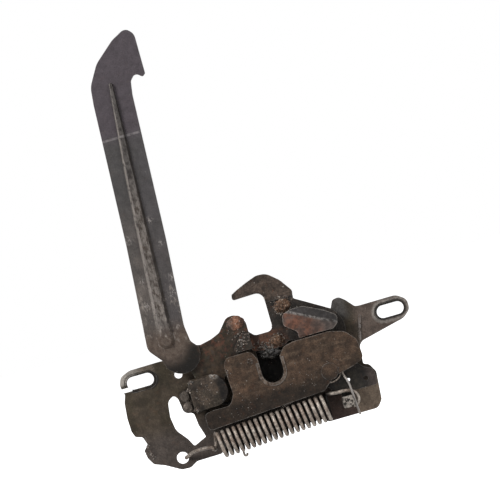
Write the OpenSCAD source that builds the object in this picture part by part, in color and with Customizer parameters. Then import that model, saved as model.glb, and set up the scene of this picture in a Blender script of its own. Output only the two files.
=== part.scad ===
// Hood latch: a stamped base plate with two slotted ears, a pivoting catch claw behind a
// front cover, a release pawl pulled home by a coil spring, and a tall safety lever.
// X runs across the vehicle, Z up, and the front of the latch faces -Y.
// The origin is where the striker bar sits when latched, on the plane of the mounting face.

/* [Base plate] */
// Sheet thickness of the base plate
base_t = 2.4; // [2:0.1:3]
// Distance between the centres of the two ear slots
slot_span = 130; // [126:1:136]
// Height of the slot centres above the striker seat
slot_z = 12; // [11:0.5:13]
// Width of an ear slot, for an M6 bolt
slot_w = 6.4; // [6:0.1:7]
// Length of an ear slot from end to end
slot_len = 13.8; // [12:0.2:15]
// Tilt of the ear slots from the horizontal
slot_tilt = 0; // [-3:1:3]
// Depth of the coined land round each ear slot
land_depth = 0.7; // [0.3:0.1:1.1]
// Width of the coined land round each ear slot
land_w = 1.5; // [1:0.1:1.6]
// Width of the break in the left ear's ring
break_w = 2.2; // [1.6:0.2:2.8]
// Lowest edge of the base plate below the seat
plate_drop = 33.4; // [32:0.2:36]
// Diameter of the locating hole beside the lever
locator_d = 4; // [3.4:0.1:4.6]
// Diameter of the hole that holds the coil spring
anchor_d = 6; // [5.9:0.1:6.4]
// Depth of the trough pressed out of the back for the striker
trough_depth = 5; // [3:0.5:7]

/* [Striker mouth] */
// Width of the mouth that takes the striker bar
mouth_w = 11; // [10.6:0.2:11.4]
// Bottom of the mouth below the striker seat
mouth_drop = 6.5; // [6:0.5:8]
// Height of the rolled rim round the mouth
rim_h = 0.5; // [0.3:0.1:0.8]

/* [Stack] */
// Gap between plates that move past each other
layer_gap = 0.4; // [0.3:0.05:0.6]
// Running clearance of a pivot in its bore, on the radius
pivot_fit = 0.05; // [0.03:0.01:0.09]
// Thickness of the catch claw
claw_t = 3.2; // [2.8:0.1:4]
// Thickness of the pawl and of the safety lever
lever_t = 2.6; // [2:0.1:3]
// Thickness of the front cover
cover_t = 2.2; // [1.8:0.1:2.6]
// Thickness of a rivet head
head_t = 1.2; // [0.8:0.1:1.6]

/* [Catch claw] */
// Claw pivot, distance right of the seat
claw_x = 28; // [27.5:0.1:28.5]
// Claw pivot, height above the seat
claw_z = 11; // [10.6:0.1:11.4]
// Turn of the claw from open to closed
claw_travel = 40; // [36:1:43]
// Radius of the claw's pivot stud
claw_stud_r = 4.5; // [4:0.1:5]
// Radius of the claw round its pivot
claw_hub_r = 13; // [12:0.1:13]
// Height of the throat floor above the seat, with the claw open
throat_z = 18.3; // [17.8:0.1:18.6]
// Thickness of the lower jaw
jaw_t = 8.8; // [8.2:0.1:9]
// Height of the hook's crown above the seat
hook_top = 46.6; // [45.6:0.2:48]
// Step between the hook's face and the rest of the claw
hook_step = 0.6; // [0.3:0.1:0.8]
// Reach of the hook's tip left of the seat
hook_reach = 9.8; // [8:0.2:11]

/* [Release pawl] */
// Pawl pivot, distance right of the seat
pawl_x = 27.2; // [26.8:0.1:27.8]
// Pawl pivot, depth below the seat
pawl_drop = 8.7; // [8.3:0.1:9.1]
// Radius of the pawl's pivot rivet
pawl_rivet_r = 3.5; // [3:0.1:3.8]
// Radius of the riveted pin that catches the claw
tooth_r = 2.2; // [1.8:0.1:2.3]
// Clearance between the tooth and the claw's rim
tooth_gap = 0.4; // [0.35:0.05:0.6]
// Direction of the tooth from the claw pivot
tooth_angle = 236; // [234:1:238]
// Thickness of the moulded pad on the pawl's head
pad_t = 3; // [2.4:0.1:3.1]
// Forward length of the lug that holds the spring
lug_len = 8.4; // [8:0.2:9.6]

/* [Safety lever] */
// Lever pivot, distance left of the seat
lever_left = 31.5; // [31:0.1:32]
// Lever pivot, depth below the seat
lever_drop = 2.2; // [1.8:0.1:2.6]
// Radius of the lever's pivot rivet
lever_rivet_r = 4; // [3.5:0.1:4.5]
// Radius of the lever's hub
lever_hub_r = 8.2; // [7.8:0.1:8.6]
// Length of the lever's arm above its root
lever_len = 150; // [120:1:180]
// Width of the lever's arm
lever_w = 20; // [18:0.5:22]
// Lean of the arm's lower part from the vertical
lever_lean = 4.4; // [3:0.1:5.4]
// Lean of the arm's upper part from the vertical
upper_lean = 2.9; // [2:0.1:4]
// Step by which the long arm stands forward of the lobe
arm_step = 2; // [1:0.1:2.2]
// Width of the rib pressed along the arm
rib_w = 8.4; // [6:0.2:9.2]
// Height of the rib above the arm's face
rib_h = 2.2; // [1.2:0.1:3]
// Reach of the lip at the lever's top
lip_reach = 8.2; // [5:0.2:10]

/* [Strap] */
// Radius of the strap's domed end
strap_r = 8.4; // [8:0.1:8.6]
// Sheet thickness of the strap
strap_t = 2; // [1.6:0.1:2.2]

/* [Springs] */
// Outer diameter of the coil spring
coil_d = 15; // [14:0.2:15.6]
// Wire diameter of the coil spring
coil_wire = 2; // [1.6:0.1:2.2]
// Turns of the coil spring
coil_turns = 20; // [16:1:24]
// Wire diameter of the two return springs
return_wire = 1.3; // [1:0.1:1.4]

/* [Hidden] */

$fn = 48;
arc_steps = 6;
hull_fn = 32;
eps = 0.02;
tail_t = 1;
head_bite = 0.4;

// Depths of the layers, counted forward from the mounting face
base_front = base_t;
claw_back = base_front + layer_gap;
claw_front = claw_back + claw_t;
lever_back = claw_front + head_t + 2 * layer_gap;
lever_front = lever_back + lever_t;
arm_back = min(lever_back + arm_step, lever_front - 0.4);
arm_front = arm_back + lever_t;
collar_back = lever_front + layer_gap / 2;
cover_back = lever_front + 2 * layer_gap + 2 * return_wire;
cover_front = cover_back + cover_t;

// Pivots, as [x, z]
claw_at = [claw_x, claw_z];
pawl_at = [pawl_x, -pawl_drop];
lever_at = [-lever_left, -lever_drop];
tooth_at = claw_at + (claw_hub_r + tooth_gap + tooth_r) * [cos(tooth_angle), sin(tooth_angle)];

// Coil spring axis, from its fixed end to the pawl's lug
coil_r = (coil_d - coil_wire) / 2;
coil_start = [-35, -28.7];
coil_end = [22.5, -25.3];
coil_depth = lever_back + lever_t / 2 + 3.2;
anchor_at = [-55.1, -30.65];
locator_at = [-45.8, 10];
spare_hole_at = [35, -15.8];
spare_hole_r = 1.1;
cable_hole_at = [43.6, -17];
cable_hole_r = 1.3;
lug_at = [32, -24.9];
lug_w = 4.6;
tooth_shank_r = tooth_r - 0.6;

// Geometry helpers

function unit(v) = v / norm(v);

// Arc of sharp outline points about a centre
function arc(at, r, a0, a1, steps) =
  [for (i = [0 : steps]) let (a = a0 + (a1 - a0) * i / steps)
    [at[0] + r * cos(a), at[1] + r * sin(a), 0]];

function flat(p) = [p[0], p[1]];

// Points of the fillet at corner b between corners a and c, limited by its sides
function fillet(a, b, c) =
  let (
    p = flat(b),
    u = unit(flat(a) - p),
    w = unit(flat(c) - p),
    half = acos(max(-1, min(1, u * w))) / 2,
    room = 0.48 * min(norm(flat(a) - p), norm(flat(c) - p)),
    r = min(b[2], room * tan(half)),
    centre = p + unit(u + w) * r / sin(half),
    s = p + u * r / tan(half) - centre,
    e = p + w * r / tan(half) - centre,
    from = atan2(s[1], s[0]),
    turn = atan2(s[0] * e[1] - s[1] * e[0], s * e)
  )
  [for (i = [0 : arc_steps]) let (a = from + turn * i / arc_steps) centre + r * [cos(a), sin(a)]];

// Outline of [x, z, corner radius] points, with each corner rounded
function rounded(pts) =
  [for (i = [0 : len(pts) - 1])
    each (pts[i][2] < 0.05 ? [flat(pts[i])]
      : fillet(pts[(i + len(pts) - 1) % len(pts)], pts[i], pts[(i + 1) % len(pts)]))];

// Extrude a drawing in the X-Z plane from one depth forward to another
module sheet(back, front) {
  translate([0, -back, 0]) rotate([90, 0, 0]) linear_extrude(front - back) children();
}

// Round bar along Y at a point of the X-Z plane
module bar(at, r, back, front) {
  translate([at[0], -back, at[1]]) rotate([90, 0, 0]) cylinder(r = r, h = front - back);
}

// Slot shape centred on the origin
module slot_shape(len, w) {
  square([len - w, w], center = true);
  for (side = [-1, 1]) translate([side * (len - w) / 2, 0]) circle(d = w);
}

// Low rivet head with a chamfered rim, standing forward of a depth
module rivet_head(at, r, back, t) {
  translate([at[0], -back, at[1]]) rotate([90, 0, 0]) rotate_extrude()
    polygon([[0, 0], [r, 0], [r, t * 0.45], [r - t * 0.7, t], [0, t]]);
}

// Rivet tail behind the mounting face
module rivet_tail(at, r) {
  translate([at[0], 0, at[1]]) rotate([-90, 0, 0]) rotate_extrude()
    polygon([[0, 0], [r, 0], [r, tail_t * 0.6], [r - 0.6, tail_t], [0, tail_t]]);
}

function tangent(p, i) = unit(p[min(i + 1, len(p) - 1)] - p[max(i - 1, 0)]);
function square_off(n, t) = unit(n - (n * t) * t);

// Normals carried along a path without twist
function carried(p, n0) =
  [for (i = 0, n = square_off(n0, tangent(p, 0)); i < len(p);
    i = i + 1, n = square_off(n, tangent(p, min(i, len(p) - 1)))) n];

// Round wire swept along a path of points
module wire(p, r, n0, sides) {
  normals = carried(p, n0);
  rings = [for (i = [0 : len(p) - 1])
    let (t = tangent(p, i), n = normals[i], b = cross(t, n))
      for (k = [0 : sides - 1]) p[i] + r * (cos(360 * k / sides) * n + sin(360 * k / sides) * b)];
  last = (len(p) - 1) * sides;
  polyhedron(points = rings, faces = concat(
    [[for (k = [0 : sides - 1]) k]],
    [[for (k = [sides - 1 : -1 : 0]) last + k]],
    [for (i = [0 : len(p) - 2]) for (k = [0 : sides - 1])
      let (a = i * sides + k, b = i * sides + (k + 1) % sides) [a, a + sides, b + sides, b]]
  ));
}

// Base plate

plate_left = -76.4;
plate_right = 49.8;
plate_bottom = -plate_drop;
tail_bottom = -36.4;
trough_top = throat_z - 2;

function ear_point(side, dx, dz, r) = [side * (slot_span / 2 + dx), slot_z + dz, r];

base_outline = [
  [-53, 18.8, 6], ear_point(-1, 4, 6.6, 8), ear_point(-1, 9, 4.6, 4), ear_point(-1, 10.4, 0.8, 3),
  ear_point(-1, 10, -2.6, 0.6), ear_point(-1, 9.2, -4.4, 1.4), [-75.6, 3.6, 4],
  [plate_left, -4, 10], [plate_left + 0.2, -11, 4], [-75, -14.2, 1.6], [-71.6, -15.2, 1.5],
  [-70.2, -19.4, 1.2], [-72.6, -22, 1], [-72, -26, 2], [-69.8, -29.8, 2], [-64.6, -31.8, 3],
  [-57, tail_bottom + 0.2, 3], [-52.4, tail_bottom, 3], [-48.6, -34.2, 3], [-35.6, -34, 2], [-33, -31.2, 2],
  [17, -31.2, 2], [20.5, plate_bottom, 2.4],
  [45.8, plate_bottom, 3.5], [48.6, -29.8, 3], [plate_right, -15.5, 3.5], [47.4, -11.3, 2.5],
  [44.6, -10.2, 1], [45.4, -1, 3], ear_point(1, -17.6, -11, 3), ear_point(1, 5.4, -5.7, 6),
  ear_point(1, 9.4, -2.2, 4), ear_point(1, 9.3, 3, 4), ear_point(1, 4.6, 6.4, 6),
  ear_point(1, -14.5, 6.3, 4), [48.4, 18.6, 2], [44.6, 23, 3], [41.8, 25.2, 2.6],
  [38.4, 24.8, 2.2], [37, 21.8, 2], [35.4, 18.6, 2], [22, 19.6, 3], [mouth_w / 2 + 4, trough_top, 3],
  [-mouth_w / 2 - 4, trough_top, 3], [-14, 10.5, 5], [-24, 12.5, 5], [-40, 17.6, 4]
];

window_outline = [
  [-54.6, -1.6, 4], [-51, 0.6, 2.4], [-49.3, -1.6, 2], [-48.4, -8, 3], [-43.6, -11, 1.6],
  [-43, -17, 4], [-41, -23.6, 0.6], [-47.8, -26.6, 0.8], [-50, -22.4, 4], [-54.6, -16.6, 6], [-55.6, -9.6, 8]
];

module trough_shape(wall) {
  translate([0, mouth_w / 2 - mouth_drop]) circle(r = mouth_w / 2 + wall);
  translate([-mouth_w / 2 - wall, mouth_w / 2 - mouth_drop])
    square([mouth_w + 2 * wall, trough_top - mouth_w / 2 + mouth_drop]);
}

module ear_slot(side, grow) {
  translate([side * slot_span / 2, slot_z]) rotate(slot_tilt)
    slot_shape(slot_len + 2 * grow, slot_w + 2 * grow);
}

module base_plate() {
  color([0.32, 0.29, 0.27]) difference() {
    union() {
      sheet(0, base_front) difference() {
        polygon(rounded(base_outline));
        polygon(rounded(window_outline));
      }
      sheet(-trough_depth - base_t, base_front / 2) trough_shape(base_t);
      // Bend line at the right ear's root
      sheet(base_front - eps, base_front + 0.5) hull() {
        translate([49.4, 13.2]) circle(r = 0.6);
        translate([46.1, 2]) circle(r = 0.6);
      }
    }
    sheet(-trough_depth, base_front + 1) trough_shape(0);
    for (side = [-1, 1]) {
      sheet(-1, base_front + 1) ear_slot(side, 0);
      sheet(base_front - land_depth, base_front + 1) ear_slot(side, land_w);
    }
    // Break in the left ear's ring, at its outer end
    translate([-slot_span / 2 - slot_len / 2 - 4, -base_front - 1, slot_z - slot_w / 2 - 0.4])
      cube([5.8, base_front + 2, break_w]);
    bar(locator_at, locator_d / 2, -1, base_front + 1);
    bar(anchor_at, anchor_d / 2, -1, base_front + 1);
    bar(spare_hole_at, spare_hole_r, -1, base_front + 1);
    bar(claw_at, claw_stud_r, -1, base_front + 1);
    bar(pawl_at, pawl_rivet_r, -1, base_front + 1);
    bar(lever_at, lever_rivet_r, -1, base_front + 1);
    for (p = strap_rivet_at) bar(p, strap_rivet_r, -1, base_front + 1);
  }
}

// Front cover

cover_edge = -lever_left + strap_r + 1;
coil_slope = (coil_end[1] - coil_start[1]) / (coil_end[0] - coil_start[0]);
function coil_top(x) = coil_start[1] + coil_slope * (x - coil_start[0]) + coil_d / 2 + 0.6;
cover_left = -38.4;
rim_w = 1.5;
cover_right = 45.2;

cover_outline = [
  [-20.8, 11.8, 3], [-8, 11.8, 3.4], [-mouth_w / 2, 7, 5], [-mouth_w / 2, -mouth_drop - 1, 0],
  [mouth_w / 2, -mouth_drop - 1, 0], [mouth_w / 2, 5.6, 3], [8.6, 9.6, 4], [14, 10.6, 6],
  [32, 10.6, 8], [39.6, 8.6, 6], [44.6, 3, 5], [cover_right, -6.8, 3], [39.4, -9.2, 3],
  [29.2, -11.6, 5], [24.6, -15, 4], [22.4, coil_top(22.4), 2], [cover_left, coil_top(cover_left), 2.4],
  [cover_left, -12, 2.4], [-33, -11.3, 4], [cover_edge - 2.6, -11.5, 4],
  [cover_edge + 0.2, -6.4, 4], [cover_edge - 0.2, 1, 6], [-22.6, 8, 4]
];

module cover_plate() {
  color([0.36, 0.29, 0.25]) difference() {
    union() {
      sheet(cover_back, cover_front) difference() {
        polygon(rounded(cover_outline));
        translate([0, mouth_w / 2 - mouth_drop]) circle(d = mouth_w);
        translate([-mouth_w / 2, mouth_w / 2 - mouth_drop]) square([mouth_w, 30]);
      }
      // Floor below the mouth, inside the cover's outline
      sheet(cover_back, cover_front) difference() {
        translate([-mouth_w / 2 - 1, -mouth_drop - 2]) square([mouth_w + 2, mouth_w / 2 + 2]);
        translate([0, mouth_w / 2 - mouth_drop]) circle(d = mouth_w);
      }
      // Rolled rim round the mouth
      sheet(cover_front - eps, cover_front + rim_h) difference() {
        union() {
          translate([0, mouth_w / 2 - mouth_drop]) circle(r = mouth_w / 2 + rim_w);
          translate([-mouth_w / 2 - rim_w, mouth_w / 2 - mouth_drop]) square([mouth_w + 2 * rim_w, 6]);
        }
        translate([0, mouth_w / 2 - mouth_drop]) circle(d = mouth_w);
        translate([-mouth_w / 2, mouth_w / 2 - mouth_drop]) square([mouth_w, 30]);
      }
      // Walls folded back to the base plate
      sheet(base_front, cover_front - cover_t / 2) {
        polygon(rounded([[cover_right - cover_t, 1.6, 0], [cover_right - 0.7, 1, 0.5],
          [cover_right - 0.2, -5.6, 0.5], [cover_right - cover_t, -5.6, 0]]));
        translate([cover_left, coil_top(cover_left) + 2]) square([cover_t, 6.5]);
      }
    }
    bar(pawl_at, pawl_rivet_r, cover_back - 1, cover_front + 1);
  }
}

// Strap over the lever's hub

strap_back = cover_back - layer_gap;
strap_front = strap_back + 2.6;
strap_foot_left = -48.6;
strap_leg_left = lever_at[0] - lever_hub_r - 0.6 - strap_t;
strap_foot_top = 1.6;
strap_rivet_r = 1.7;
strap_rivet_at = [[-45.4, -7], [-45.4, -1.4]];

module strap_dome(r, back, front) {
  hull() for (x = [-39.6, lever_at[0]]) {
    translate([x, -back, lever_at[1]]) rotate([90, 0, 0]) cylinder(r = r, h = 0.6, $fn = hull_fn);
    translate([x, -front + 0.5, lever_at[1]]) rotate([90, 0, 0])
      cylinder(r = r - 4.2, h = 0.5, $fn = hull_fn);
    translate([x, -(back + front) / 2 - 0.4, lever_at[1]]) rotate([90, 0, 0])
      cylinder(r = r - 0.8, h = 0.5, $fn = hull_fn);
  }
}

module lever_strap() {
  low = lever_at[1] - strap_r;
  leg_h = 2 * strap_r - 3.6;
  color([0.34, 0.31, 0.29]) difference() {
    union() {
      difference() {
        strap_dome(strap_r, strap_back, strap_front);
        translate([strap_leg_left - 20, -strap_front, low - 1]) cube([20, strap_front, 2 * strap_r + 2]);
      }
      // Leg down to the base plate, and its foot
      translate([strap_leg_left, -strap_back - 1.4, low + 0.8])
        cube([strap_t, strap_back + 1.4 - base_front, leg_h]);
      sheet(base_front, base_front + strap_t)
        polygon(rounded([[strap_foot_left, low + 0.4, 4], [strap_leg_left + 1, low + 0.8, 0],
          [strap_leg_left + 1, strap_foot_top, 0], [strap_foot_left, strap_foot_top, 3]]));
    }
    for (p = strap_rivet_at) bar(p, strap_rivet_r, base_front - 1, base_front + strap_t + 1);
  }
}

module strap_rivets() {
  color([0.45, 0.38, 0.33]) for (p = strap_rivet_at) {
    bar(p, strap_rivet_r, 0, base_front + strap_t + head_bite);
    rivet_head(p, strap_rivet_r + 0.9, base_front + strap_t, head_t);
  }
}

// Pivots and bushes

module lever_pivot() {
  color([0.45, 0.42, 0.4]) {
    rivet_tail(lever_at, lever_rivet_r + 1.4);
    bar(lever_at, lever_rivet_r, -tail_t / 2, lever_front + layer_gap / 2 + head_bite);
    rivet_head(lever_at, lever_rivet_r + 2, lever_front + layer_gap / 2, head_t);
  }
}

module lever_bush() {
  color([0.5, 0.48, 0.45]) difference() {
    bar(lever_at, lever_rivet_r + 2, base_front, lever_back - layer_gap / 2);
    bar(lever_at, lever_rivet_r + pivot_fit, base_front - 1, lever_back + 1);
  }
}

module claw_pivot() {
  color([0.45, 0.42, 0.4]) {
    rivet_tail(claw_at, claw_stud_r + 1.4);
    bar(claw_at, claw_stud_r, -tail_t / 2, claw_front + layer_gap / 2 + head_bite);
    rivet_head(claw_at, claw_stud_r + 2.4, claw_front + layer_gap / 2, head_t);
  }
}

module claw_washer() {
  color([0.5, 0.48, 0.45]) difference() {
    bar(claw_at, claw_stud_r + 3, base_front, claw_back - 0.1);
    bar(claw_at, claw_stud_r + pivot_fit, base_front - 1, claw_back + 1);
  }
}

module pawl_pivot() {
  color([0.45, 0.42, 0.4]) {
    rivet_tail(pawl_at, pawl_rivet_r + 1.4);
    bar(pawl_at, pawl_rivet_r, -tail_t / 2, cover_front + head_bite / 2);
    rivet_head(pawl_at, pawl_rivet_r + 0.9, cover_front, 0.4);
  }
}

module pawl_bush() {
  color([0.5, 0.48, 0.45]) difference() {
    bar(pawl_at, pawl_rivet_r + 1.6, base_front, lever_back - 0.1);
    bar(pawl_at, pawl_rivet_r + pivot_fit, base_front - 1, lever_back + 1);
  }
}

module spring_collar() {
  color([0.5, 0.48, 0.45]) difference() {
    bar(pawl_at, pawl_rivet_r + 1, collar_back, cover_back);
    bar(pawl_at, pawl_rivet_r + pivot_fit, collar_back - 1, cover_back + 1);
  }
}

// Springs

// Coil of a torsion spring about a pivot, from one angle to another
function torsion_coil(at, r, depth0, depth1, a0, a1, steps) =
  [for (i = [0 : steps]) let (f = i / steps, a = a0 + (a1 - a0) * f)
    [at[0] + r * cos(a), -depth0 - (depth1 - depth0) * f, at[1] + r * sin(a)]];

return_r = pawl_rivet_r + 1.3 + return_wire / 2;
return_depth = lever_front + layer_gap + return_wire / 2;
return_front = cover_back - layer_gap / 2 - return_wire / 2;
behind_coil = base_front + 0.3 + return_wire / 2;
leg_depth = coil_depth + coil_wire / 2 + 0.3 + return_wire / 2;

// Point of a return spring's leg, set from a named place of the latch
function leg_point(at, dx, dz, depth) = [at[0] + dx, -depth, at[1] + dz];

module return_spring() {
  leg_down = [leg_point(pawl_at, 6.1, -3.9, return_front), leg_point(pawl_at, 6.8, -8.3, return_front + 0.9),
    leg_point(lug_at, 3.1, 2.9, leg_depth), leg_point(lug_at, 3.6, -2.6, leg_depth),
    leg_point(lug_at, 4, -8.5, leg_depth)];
  up = [for (i = [len(leg_down) - 1 : -1 : 0]) leg_down[i]];
  turns = torsion_coil(pawl_at, return_r, return_front, return_depth, 0, 360 + 150, 34);
  leg_left = [leg_point(pawl_at, -8, -3.1, return_depth), leg_point(pawl_at, -10, -6.3, return_depth),
    leg_point(pawl_at, -11.6, -7.7, return_depth - 1.6), leg_point(pawl_at, -13.4, -8.2, behind_coil + 2),
    leg_point(pawl_at, -15.6, -8.5, behind_coil), leg_point(pawl_at, -25.2, -10.7, behind_coil),
    leg_point(coil_start, 27, 5.7, behind_coil), leg_point(coil_start, 19, 2.3, behind_coil),
    leg_point(coil_start, 13.2, -0.9, behind_coil), leg_point(coil_start, 10.6, -4.3, behind_coil),
    leg_point(coil_start, 10, -7.2, behind_coil)];
  eye = [for (a = [180 : 40 : 380])
    leg_point(coil_start, 10.8 + 0.8 * cos(a), -8.6 + 0.8 * sin(a), behind_coil)];
  color([0.5, 0.47, 0.43])
    wire(concat(up, turns, leg_left, eye), return_wire / 2, [1, 0, 0], 8);
}

module lever_spring() {
  r = lever_rivet_r + 2.5 + return_wire / 2;
  back = base_front + 0.3 + return_wire / 2;
  front = lever_back - 0.4 - return_wire / 2;
  turns = torsion_coil(lever_at, r, back, front, -100, 620, 40);
  leg_back = [leg_point(lever_at, -0.92 * r, -0.87 * r, back)];
  leg_front = [leg_point(lever_at, 1.15 * r, -1.2 * r, front)];
  color([0.5, 0.47, 0.43]) wire(concat(leg_back, turns, leg_front), return_wire / 2, [1, 0, 0], 8);
}

module coil_spring() {
  axis_dir = unit([coil_end[0] - coil_start[0], 0, coil_end[1] - coil_start[1]]);
  side_dir = [0, -1, 0];
  up_dir = cross(axis_dir, side_dir);
  start = [coil_start[0], -coil_depth, coil_start[1]];
  length = norm(coil_end - coil_start);
  steps = 14;
  first = 270;
  sweep = 360 * coil_turns;
  count = coil_turns * steps;
  turn_pts = [for (i = [0 : count]) let (f = i / count, a = first + sweep * f)
    start + axis_dir * (length * f) + coil_r * (cos(a) * side_dir + sin(a) * up_dir)];
  // Half turn that leads from the centre line out to the coil
  lead_in = [for (i = [0 : 6]) let (f = i / 7, a = first - 180 * (1 - f))
    start - axis_dir * (4.4 * (1 - f)) + coil_r * sin(90 * f) * (cos(a) * side_dir + sin(a) * up_dir)];
  anchor = [anchor_at[0], 0, anchor_at[1]];
  hook_in = [
    anchor + [4.8, 2.6, 0], anchor + [2.6, 1.9, -0.3], anchor + [1.8, 0.3, -0.4],
    anchor + [1.8, -base_t - 0.4, -0.4], anchor + [2.8, -base_t - 2.4, 0.2],
    anchor + [5.6, -base_t - 4.4, 1.4], anchor + [10.4, -coil_depth + 1.6, 2]];
  lug = [lug_at[0], -coil_depth, lug_at[1]];
  // The hook's arc passes the lug's corners with room to spare
  hook_r = norm([lug_w, lever_t]) / 2 + coil_wire / 2 + 0.75;
  hook_out = concat([lug + [-6.4, 0, hook_r + 0.8], lug + [-3, 0, hook_r + 0.2]],
    [for (a = [84 : -12 : -60]) lug + hook_r * [cos(a), 0, sin(a)]]);
  color([0.6, 0.54, 0.5]) wire(concat(hook_in, lead_in, turn_pts, hook_out), coil_wire / 2, [0, 0, 1], 6);
}

// Catch claw

throat_edge = mouth_w / 2 + 0.4;
jaw_bottom = throat_z - jaw_t;

claw_outline = [
  [-hook_reach, hook_top - 8.6, 1.2], [-hook_reach + 0.5, hook_top - 5.6, 1], [-6.4, hook_top - 4.1, 4],
  [-1, hook_top - 1.8, 8], [5, hook_top + 0.3, 6], [10, hook_top, 7], [15.8, hook_top - 5, 9],
  [20.4, hook_top - 11.6, 2.6], [19.7, hook_top - 15.6, 1.6], [23.6, hook_top - 17.9, 5],
  each arc(claw_at, claw_hub_r, 50, -179, 44), [12.4, jaw_bottom + 1.9, 1.5], [8.4, jaw_bottom, 3],
  [2, jaw_bottom, 4], [-6.8, jaw_bottom + 1.4, 2.4],
  [-8, throat_z + 1.4, 2], [-6.6, throat_z + 3.2, 1.2], [-3.6, throat_z, 3.4], [throat_edge, throat_z, 2.8],
  [throat_edge, hook_top - 8.2, 4], [-4, hook_top - 8.4, 9]
];

module catch_claw() {
  notch_dir = tooth_angle - claw_travel;
  color([0.3, 0.24, 0.21]) difference() {
    union() {
      sheet(claw_back, claw_front) polygon(rounded(claw_outline));
      // Step across the hook, above the upper rivet
      sheet(claw_front - eps, claw_front + hook_step) intersection() {
        polygon(rounded(claw_outline));
        translate([-hook_reach - 1, hook_top - 14]) square([32, 16]);
      }
    }
    bar(claw_at, claw_stud_r + pivot_fit, claw_back - 1, claw_front + 1);
    // Notch that the pawl's tooth drops into when the claw is home
    bar(claw_at + (claw_hub_r + tooth_r * 0.4) * [cos(notch_dir), sin(notch_dir)], tooth_r + 0.3,
      claw_back - 1, claw_front + 1);
    for (p = claw_rivet_at) bar(p, claw_rivet_r, claw_back - 1, claw_front + 1);
  }
}

claw_rivet_r = 2;
claw_rivet_at = [[13.6, 29], [6.2, 13.2]];

module claw_rivets() {
  color([0.5, 0.36, 0.26]) for (p = claw_rivet_at) {
    bar(p, claw_rivet_r, claw_back, claw_front + head_bite);
    rivet_head(p, claw_rivet_r + 1.1, claw_front, head_t + 0.2);
  }
}

// Release pawl

pawl_outline = [
  [44, -11.2, 3], [48.6, -13.6, 2.6], [48.8, -21.4, 1.6], [26.6, -21.2, 2], [25.2, -17.2, 3],
  [19.4, -12.4, 4], [tooth_at[0] - tooth_r - 1.6, tooth_at[1] - 3, 3],
  [tooth_at[0] - tooth_r - 1, tooth_at[1] + tooth_r + 1, 3],
  [21.6, 4.6, 2], [24, 11, 2], [17.6, 11.4, 2.4], [12.6, 18.6, 3], [12.4, 24.8, 3], [17.6, 26.4, 4],
  [23, 25.8, 5], [32, 21.8, 6], [38, 17.4, 3], [38.2, 13.4, 3], [34.8, 8, 4], [36.4, -3, 5]
];

pad_outline = [
  [11.4, 19.2, 1.6], [12, 24.6, 2.4], [16.6, 26.2, 4], [23, 26.2, 6], [33, 21.2, 7], [38.4, 17.4, 2.6],
  [37.6, 13.4, 2], [34.8, 11.2, 2], [28, 11.4, 6], [17.2, 11.2, 0.8], [17.2, 14.6, 2]
];

module release_pawl() {
  lug_front = lever_front + lug_len;
  color([0.27, 0.25, 0.24]) difference() {
    union() {
      sheet(lever_back, lever_front) polygon(rounded(pawl_outline));
      // Lug bent forward for the coil spring, with a flattened end that keeps the hook on
      sheet(lever_back, lever_front) translate([lug_at[0] - lug_w / 2, lug_at[1] - 1.3]) square([lug_w, 6]);
      sheet(lever_back, lug_front)
        translate([lug_at[0] - lug_w / 2, lug_at[1] - 1.3]) square([lug_w, lever_t]);
      sheet(lug_front - 1.6, lug_front)
        polygon(rounded([[lug_at[0] - 2.9, lug_at[1] - 3.4, 1], [lug_at[0] + 2.9, lug_at[1] - 3.4, 1],
          [lug_at[0] + 2.9, lug_at[1] + 2.3, 1], [lug_at[0] - 2.9, lug_at[1] + 2.3, 1]]));
    }
    bar(pawl_at, pawl_rivet_r + pivot_fit, lever_back - 1, lever_front + 1);
    bar(tooth_at, tooth_shank_r, lever_back - 1, lever_front + 1);
    bar(spare_hole_at, spare_hole_r, lever_back - 1, lever_front + 1);
    bar(cable_hole_at, cable_hole_r, lever_back - 1, lever_front + 1);
  }
}

// Shouldered pin riveted into the pawl, which stands in the claw's path
module pawl_pin() {
  color([0.5, 0.48, 0.45]) {
    bar(tooth_at, tooth_r, claw_back + layer_gap, lever_back);
    bar(tooth_at, tooth_shank_r, lever_back - head_bite, lever_front + head_bite);
    rivet_head(tooth_at, tooth_r, lever_front, 0.7);
  }
}

// Moulded pad on the pawl's head, with a sloped face like a finger rest
module pawl_pad() {
  color([0.42, 0.29, 0.25]) intersection() {
    sheet(lever_front, lever_front + pad_t) polygon(rounded(pad_outline));
    hull() {
      translate([8, -lever_front - 0.8, 6]) cube([36, 0.8 + eps, 24]);
      translate([14.4, -lever_front - pad_t, 13.4]) rotate([0, 14, 0]) cube([19, 0.5, 7.8]);
    }
  }
}

// Safety lever

// Point of the arm: across its width from the centre line, and along from its root, with a slight knee
arm_root = [-46.1, 34];
knee_at = 44;
function lean_at(along) = along > knee_at ? upper_lean : lever_lean;
function along_dir(lean) = [sin(lean), cos(lean)];
function arm(across, along) =
  arm_root + min(along, knee_at) * along_dir(lever_lean) + max(along - knee_at, 0) * along_dir(upper_lean)
  + across * [cos(lean_at(along)), -sin(lean_at(along))];
function arm_point(across, along, r) = concat(arm(across, along), r);
half_w = lever_w / 2;
arm_end = [-41.4, 19.6];
arm_end_r = 9.6;

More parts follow.
